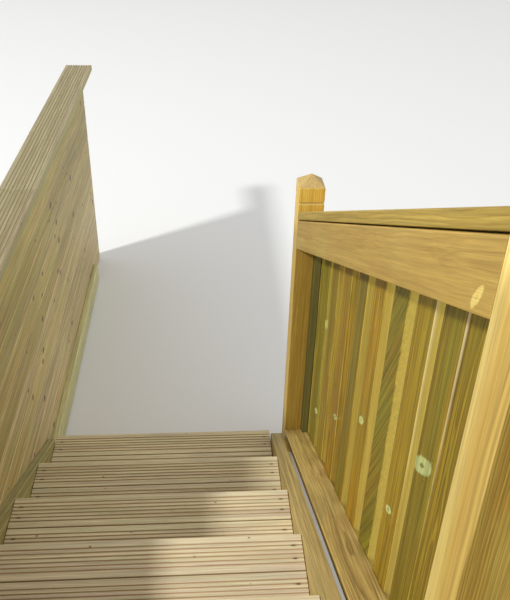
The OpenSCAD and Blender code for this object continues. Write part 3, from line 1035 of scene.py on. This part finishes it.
# %% Turn a squared post into a newel
POINT_HEIGHT = 0.036
POST_ROUNDING = 0.004
RING_BELOW_SHOULDER = 0.058
RING_HALF_WIDTH = 0.003
RING_DEPTH = 0.004
FACES_UP = 0.9


def newel(name, node):
    """A squared post with a point, a groove around it and rounded edges."""
    low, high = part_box(node)
    shoulder = high.z - POINT_HEIGHT
    shaft = squared(name, low, (high.x, high.y, shoulder))
    opened(shaft)
    pick(shaft, "FACE", lambda f: f.normal.z > FACES_UP)
    bpy.ops.mesh.extrude_region_move(TRANSFORM_OT_translate={"value": (0, 0, POINT_HEIGHT)})
    bpy.ops.mesh.merge(type="CENTER")
    ring = shoulder - RING_BELOW_SHOULDER
    for height in (ring - RING_HALF_WIDTH, ring, ring + RING_HALF_WIDTH):
        bpy.ops.mesh.select_all(action="SELECT")
        bpy.ops.mesh.bisect(plane_co=(0, 0, height), plane_no=(0, 0, 1))
    pick(shaft, "VERT", lambda v: abs(v.co.z - ring) < RING_HALF_WIDTH / 4)
    inward = 1 - 2 * RING_DEPTH / (high.x - low.x)
    bpy.ops.transform.resize(value=(inward, inward, 1), center_override=((low + high) / 2))
    closed()
    return eased(shaft, POST_ROUNDING, segments=3)


# %% [markdown]
# A post is sawn well away from the heart of the tree, so two of its faces show arches and the other
# two show the rings as straight stripes. Tint and shade are given for each. The upper newel has a
# strip of paler sapwood at the corner by the flight: that corner is marked, and the mark fades across
# the two faces beside it, because an attribute runs evenly from vertex to vertex.

# %% Saw the newels
NEWEL_TONES = {"lower": (0.8, 0.45), "upper": (0.65, 0.15), "end": (0.5, 0.5)}
NEWEL_CUT = dict(pith=(0.20, 0.015), spread=(0.01, 0.01), end_from=0.6)
SAPWOOD_NEWEL = "upper"
SAPWOOD_SIDES = 0.5


def sapwood(node):
    """A mark that is 1 at a post's corner by the flight, towards its foot, and -1 elsewhere."""
    low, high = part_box(node)
    half = (high.x - low.x) / 2
    return lambda place: 1.0 if place.x < low.x + half and place.y > low.y + half else -1.0


for name, tone in NEWEL_TONES.items():
    node = f"newel_{name}"
    pale_corner = dict(side_share=SAPWOOD_SIDES, marked=sapwood(node)) if name == SAPWOOD_NEWEL else {}
    post = sawn(newel(f"{name}_newel", node), Z_AXIS, X_AXIS, tone=tone, **NEWEL_CUT, **pale_corner)
    dressed(post, node, newel_wood)

# %% [markdown]
# ## Rails
#
# The railing between the newels has a flat handrail, a wide plank on edge under it with a smaller
# rail behind, and a bottom rail laid flat. On the stair each is a level timber with its upper end
# moved up by the stair's slope, so the ends stay plumb against the newels. The plank hangs a few
# millimetres under the handrail, which leaves a fine dark line between the two. A pale patch near the
# plank's upper end is a painted reflection, made as a placed knot whose eye has the colour of the
# wood, so only its halo shows.

# %% Sloping and level rails
RAIL_ROUNDING = 0.0035
PLANK_GAP = 0.0035
PLANK_REFLECTION = (-0.905, -0.54, 0.0055, 0.0065, -1.1)


def sloping_rail(name, node, finish, gap=0.0, across=X_AXIS, **how):
    """A rail over a sloping node, its top lower by gap."""
    low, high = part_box(node)
    rise = SLOPE * (high.y - low.y)
    rail = raised(squared(name, low, (high.x, high.y, high.z - rise - gap)))
    return dressed(sawn(eased(rail, RAIL_ROUNDING), DOWN_THE_STAIR, across, **how), node, finish)


def level_rail(name, node, finish, gap=0.0, **how):
    """A rail over a level node, its top lower by gap."""
    low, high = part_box(node)
    rail = eased(squared(name, low, high - Vector((0, 0, gap))), RAIL_ROUNDING)
    return dressed(sawn(rail, Y_AXIS, X_AXIS, **how), node, finish)


for place, make in (("stair", sloping_rail), ("landing", level_rail)):
    make(f"{place}_flat_handrail", f"{place}_handrail", handrail_wood, pith=(0.03, 0.05))
    make(f"{place}_rail_behind", f"{place}_back_rail", plank_wood)
    make(f"{place}_flat_bottom_rail", f"{place}_bottom_rail", bottom_rail_wood, pith=(0.0, 0.045))
level_rail("landing_plank", "landing_rail_plank", plank_wood, gap=PLANK_GAP, pith=(0.07, 0.0))
sloping_rail("stair_plank", "stair_rail_plank", plank_wood, gap=PLANK_GAP,
             across=X_AXIS.cross(DOWN_THE_STAIR), branch=PLANK_REFLECTION)

# %% [markdown]
# ## Upright boards
#
# The boards of the railing stand on the outside of its rails, nailed on by eye, so their gaps differ.
# On the stair their tops and bottoms are cut to the slope. The imported node has them at their places,
# so it is taken apart too. No two boards of the real railing have one colour: some are golden, some
# green or brown, and their narrow sides are paler on some than on others. Each board's tint, from
# golden to green, its shade, from dark to light, and its sides' share of the edge colour are listed,
# from the foot of the stair up, and so are five knots. On one board the grain runs askew, and two have
# a painted highlight along their near edge. A narrow batten at each newel takes the outermost board;
# its dark colour is a painted shade.

# %% Each board, one by one
UPRIGHT_TONES = [(0.9, 0.0), (1.2, 0.6), (0.7, 0.55), (-0.2, 0.35), (0.7, 0.0), (0.3, 0.75),
                 (1.2, 0.35), (0.65, 0.65), (0.7, 0.1), (0.5, 0.4), (0.4, 0.5)]
UPRIGHT_SIDES = [0.3, 0.6, 0.35, 0.2, 0.7, 0.8, 1.0, 0.9, 0.25, 1.0, 1.0]
UPRIGHT_KNOTS = {1: (-0.52, 0.41, 0.006, 0.012, 0.6), 3: (-0.33, 0.52, 0.005, 0.010, 0.6),
                 5: (-0.16, -0.28, 0.006, 0.010, 0.6), 7: (-0.42, -0.26, 0.005, 0.009, 0.6),
                 8: (-0.02, -0.23, 0.010, 0.021, 0.69)}
ASKEW_BOARD = 6
ASKEW = Vector((0, -0.5, 0.9)).normalized()
STRIPED_BOARDS = (4, 6, 8)
FLAT_SAWN, QUARTER_SAWN = (0.0, 0.05), (0.08, 0.0)
# Two boards get a painted highlight on their near, inner arris; the numbers say what it fades to across the
# side and at the foot.
HIGHLIGHTED_BOARDS = {7: -1.0, 8: -4.0}
HIGHLIGHT_FOOT = -0.4
UPRIGHT_ROUNDING = 0.003


def highlighted_edge(low, high, across):
    """A painted highlight on a board's near, inner arris, that fades to across over its side and downwards.
    """
    def mark(place):
        if place.y > low.y + UPRIGHT_ROUNDING / 2:
            return 0.0
        if place.x > (low.x + high.x) / 2:
            return across
        return 1.0 if place.z > (low.z + high.z) / 2 else HIGHLIGHT_FOOT
    return mark


def chosen(number, low, high):
    """How the board with this number is sawn."""
    up = ASKEW if number == ASKEW_BOARD else Z_AXIS
    highlight = highlighted_edge(low, high, HIGHLIGHTED_BOARDS[number]) if number in HIGHLIGHTED_BOARDS else None
    return dict(
        along=up, across=X_AXIS.cross(up), pith=QUARTER_SAWN if number in STRIPED_BOARDS else FLAT_SAWN,
        tone=UPRIGHT_TONES[number], branch=UPRIGHT_KNOTS.get(number, NO_BRANCH),
        side_share=UPRIGHT_SIDES[number], marked=highlight)


print(len(UPRIGHT_TONES), "boards chosen by eye,", len(UPRIGHT_KNOTS), "of them with a knot")

# %% Upright boards
BY_CHANCE = dict(along=Z_AXIS, across=Y_AXIS, pith=FLAT_SAWN, spread=(0.04, 0.03))


def uprights(name, node, how_sawn):
    """Takes a node apart and saws each board as how_sawn says."""
    boards = taken_apart(name, node)
    for number, thing in enumerate(boards):
        low, high = corners(thing)
        sawn(eased(thing, UPRIGHT_ROUNDING), **how_sawn(number, low, high))
    return dressed(joined(name, boards), node, infill_wood)


uprights("stair_uprights", "stair_infill", chosen)
uprights("landing_uprights", "landing_infill", lambda number, low, high: BY_CHANCE)
end_battens = [sawn(eased(b), Z_AXIS, Y_AXIS) for b in taken_apart("end batten", "stair_end_battens")]
dressed(joined("upright_end_battens", end_battens), "stair_end_battens", shaded_batten_wood)

# %% [markdown]
# ## Clad wall
#
# Boards are stacked on the wall's posts with a hair of space between them, and a thicker plinth
# board stands in front of the lowest one. Their hue goes from olive under the cap to a pinkish tan
# near the ground, and they are a touch lighter there, each a little off that rule by chance.

# %% Cladding and plinth
CLADDING_ROUNDING = 0.0035
LOWEST_TINT = 1.1
TINT_BY_CHANCE = 0.25
TOP_SHADE = 0.29
SHADE_GAINED = 0.22
SHADE_BY_CHANCE = 0.12
rows = taken_apart("cladding", "wall_cladding")
chance = random.Random("cladding")
for number, board in enumerate(rows):
    low_down = LOWEST_TINT - LOWEST_TINT * number / (len(rows) - 1)
    tint = low_down + chance.uniform(-TINT_BY_CHANCE, TINT_BY_CHANCE)
    shade = TOP_SHADE + SHADE_GAINED * low_down + chance.uniform(-SHADE_BY_CHANCE, SHADE_BY_CHANCE)
    sawn(eased(board, CLADDING_ROUNDING), Y_AXIS, Z_AXIS, tone=(tint, shade))
dressed(joined("cladding_boards", rows), "wall_cladding", cladding_wood)
plain_timber("plinth_board", "wall_plinth", Y_AXIS, Z_AXIS, plinth_wood, arris=CLADDING_ROUNDING)

# %% [markdown]
# ## Screws
#
# The deck boards are held by screws, driven through their second and fifth grooves. A head is a
# short cylinder whose top face is inset and pushed down for the driver. It sits below the ribs, so
# only a dark spot in the groove shows. One head is modelled and copied to every place. Its metal is
# dull, with rust in patches: noise chooses between two colours and roughens the rusty one.

# %% A screw's finish
RUST_WAVES = (260, 260, 260)
CLEAN_STEEL, RUSTY_STEEL = (104, 98, 84), (84, 58, 36)
CLEAN_ROUGHNESS, RUST_ROUGHER = 0.4, 0.35
SCREW_METALLIC = 0.6
screw_metal = bpy.data.materials.new("weathered screw")
screw_metal.use_nodes = True
metal = screw_metal.node_tree
steel = metal.nodes["Principled BSDF"]
place = add(metal, "ShaderNodeTexCoord").outputs["Object"]
rust = between(metal, noise(metal, place, RUST_WAVES), 0.4, 0.6)
metal.links.new(mixed(metal, rust, linear(*CLEAN_STEEL), linear(*RUSTY_STEEL)), steel.inputs["Base Color"])
metal.links.new(maths(metal, "MULTIPLY_ADD", rust, RUST_ROUGHER, CLEAN_ROUGHNESS), steel.inputs["Roughness"])
steel.inputs["Metallic"].default_value = SCREW_METALLIC
print("screw finish:", len(metal.nodes), "nodes")

# %% One screw head
SCREW_RADIUS = 0.0042
SCREW_THICKNESS = 0.003
SCREW_CORNERS = 12
SCREW_RIM = 0.0018
SCREW_RECESS = 0.0009


def screw_head():
    """One head, its top at z = 0."""
    bpy.ops.object.select_all(action="DESELECT")
    bpy.ops.mesh.primitive_cylinder_add(vertices=SCREW_CORNERS, radius=SCREW_RADIUS, depth=SCREW_THICKNESS,
                                        location=(0, 0, -SCREW_THICKNESS / 2))
    head = bpy.context.object
    bpy.ops.object.transform_apply(location=True, rotation=False, scale=False)
    opened(head)
    pick(head, "FACE", lambda f: f.normal.z > FACES_UP)
    bpy.ops.mesh.inset(thickness=SCREW_RIM)
    bpy.ops.mesh.extrude_region_move(TRANSFORM_OT_translate={"value": (0, 0, -SCREW_RECESS)})
    closed()
    return head


pattern_head = screw_head()
print("screw head:", len(pattern_head.data.polygons), "faces")

# %% Screws in the treads and the landing
SCREW_SUNK = 0.0016


def screwed(name, places):
    """Screw heads at these places on the boards' tops, as one piece."""
    heads = [moved_copy(pattern_head, f"{name} {number}", place) for number, place in enumerate(places)]
    screws = joined(name, heads)
    screws.data.materials.append(screw_metal)
    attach(screws, "root")
    print(f"{name}: {len(places)} heads")


def screw_rows(front, board_count):
    """Places along Y of the two rows of screws in each board, from the front edge back."""
    middles = [front - number * BOARD_STEP - BOARD_WIDTH / 2 for number in range(board_count)]
    return [middle + side * SCREW_ROW for middle in middles for side in (-1, 1)]


places = []
for number in range(1, STEPS + 1):
    low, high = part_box(f"tread_{number}")
    for y in screw_rows(high.y, BOARDS_IN_TREAD):
        for x in (low.x + SCREW_FROM_END, high.x - SCREW_FROM_END):
            places.append((x, y, high.z - SCREW_SUNK))
screwed("tread_screws", places)

places = []
for node in ("landing_ledger", "landing_joist_1", "landing_joist_2", "landing_side_beam"):
    low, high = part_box(node)
    for y in screw_rows(landing_high.y, landing_count):
        places.append(((low.x + high.x) / 2, y, landing_high.z - SCREW_SUNK))
screwed("landing_screws", places)
bpy.data.objects.remove(pattern_head)

# %% [markdown]
# ## Floor, light and camera
#
# A plain pale floor and a soft sky light the whole object. The sky looks pure white to the camera
# and in gloss, but shines a little less on the wood. One soft lamp from the wall's side puts the
# wall in shade and the railing in light. It stands far off, so that its light falls at nearly one
# angle everywhere, as the sun's does.

# %% Floor
FLOOR_SIZE = 60
FLOOR_COLOUR = (0.78, 0.78, 0.765, 1)
FLOOR_ROUGHNESS = 0.9
bpy.ops.object.select_all(action="DESELECT")
bpy.ops.mesh.primitive_plane_add(size=FLOOR_SIZE, location=(0, 0, 0))
floor = bpy.context.object
floor.name = "studio_floor"
paint = bpy.data.materials.new("studio floor")
paint.use_nodes = True
paint.node_tree.nodes["Principled BSDF"].inputs["Base Color"].default_value = FLOOR_COLOUR
paint.node_tree.nodes["Principled BSDF"].inputs["Roughness"].default_value = FLOOR_ROUGHNESS
floor.data.materials.append(paint)
print("floor:", FLOOR_SIZE, "m square")

# %% Sky
SKY_LIGHT = 0.78
world = bpy.data.worlds.new("studio")
bpy.context.scene.world = world
world.use_nodes = True
sky = world.node_tree
background = sky.nodes["Background"]
path = add(sky, "ShaderNodeLightPath")
shiny = maths(sky, "MAXIMUM", path.outputs["Is Glossy Ray"], path.outputs["Is Transmission Ray"])
seen = maths(sky, "MAXIMUM", path.outputs["Is Camera Ray"], shiny)
strength = maths(sky, "MULTIPLY_ADD", seen, 1.0 - SKY_LIGHT, SKY_LIGHT)
sky.links.new(strength, background.inputs["Strength"])
background.inputs["Color"].default_value = (1, 1, 1, 1)
print("sky: strength 1 where it is seen,", SKY_LIGHT, "on the wood")

# %% Lamp
LAMP_DIRECTION = Vector((-1.0, -0.45, 0.96)).normalized()
LAMP_DISTANCE = 20.0
LAMP_AIM = Vector((0.2, -0.16, 0.5))
LAMP_SIZE = 1.5
LAMP_POWER = 3110
bpy.ops.object.light_add(type="AREA", location=LAMP_AIM + LAMP_DISTANCE * LAMP_DIRECTION)
lamp = bpy.context.object
lamp.name = "soft lamp"
lamp.data.size = LAMP_SIZE
lamp.data.energy = LAMP_POWER
lamp.rotation_euler = LAMP_DIRECTION.to_track_quat("Z", "Y").to_euler()
print(f"lamp: {math.degrees(math.asin(LAMP_DIRECTION.z)):.0f} degrees above the floor")

# %% [markdown]
# The camera stands about 1.4 m above the landing and looks down the flight. Its three turns are a
# downward pitch, a little yaw to the right and a slight roll. They go straight into its matrix as the
# directions ahead, right and up, which is easier to check than Euler angles.

# %% Camera
CAMERA_PLACE = Vector((0.1675, -2.025, 2.273))
CAMERA_PITCH = 0.569
CAMERA_YAW = 0.080
CAMERA_ROLL = 0.029
FOCAL_PIXELS = 744.0
IMAGE_HEIGHT = 600
SENSOR = 36.0
NEAREST_SEEN = 0.02
level_ahead = Vector((math.sin(CAMERA_YAW), math.cos(CAMERA_YAW), 0))
level_right = Vector((math.cos(CAMERA_YAW), -math.sin(CAMERA_YAW), 0))
ahead = math.cos(CAMERA_PITCH) * level_ahead - math.sin(CAMERA_PITCH) * Z_AXIS
level_up = level_right.cross(ahead)
right = math.cos(CAMERA_ROLL) * level_right + math.sin(CAMERA_ROLL) * level_up
up = math.cos(CAMERA_ROLL) * level_up - math.sin(CAMERA_ROLL) * level_right
lens = bpy.data.cameras.new("camera")
camera = bpy.data.objects.new("camera", lens)
bpy.context.scene.collection.objects.link(camera)
turn = camera.matrix_world.to_3x3()
turn.col[0], turn.col[1], turn.col[2] = right, up, -ahead
camera.matrix_world = turn.to_4x4()
camera.location = CAMERA_PLACE
lens.sensor_fit = "VERTICAL"
lens.sensor_height = SENSOR
lens.lens = FOCAL_PIXELS / IMAGE_HEIGHT * SENSOR
lens.clip_start = NEAREST_SEEN
bpy.context.scene.camera = camera
bpy.context.scene.view_settings.view_transform = "Standard"
print(f"camera: {lens.lens:.1f} mm lens, looking {math.degrees(CAMERA_PITCH):.0f} degrees down")
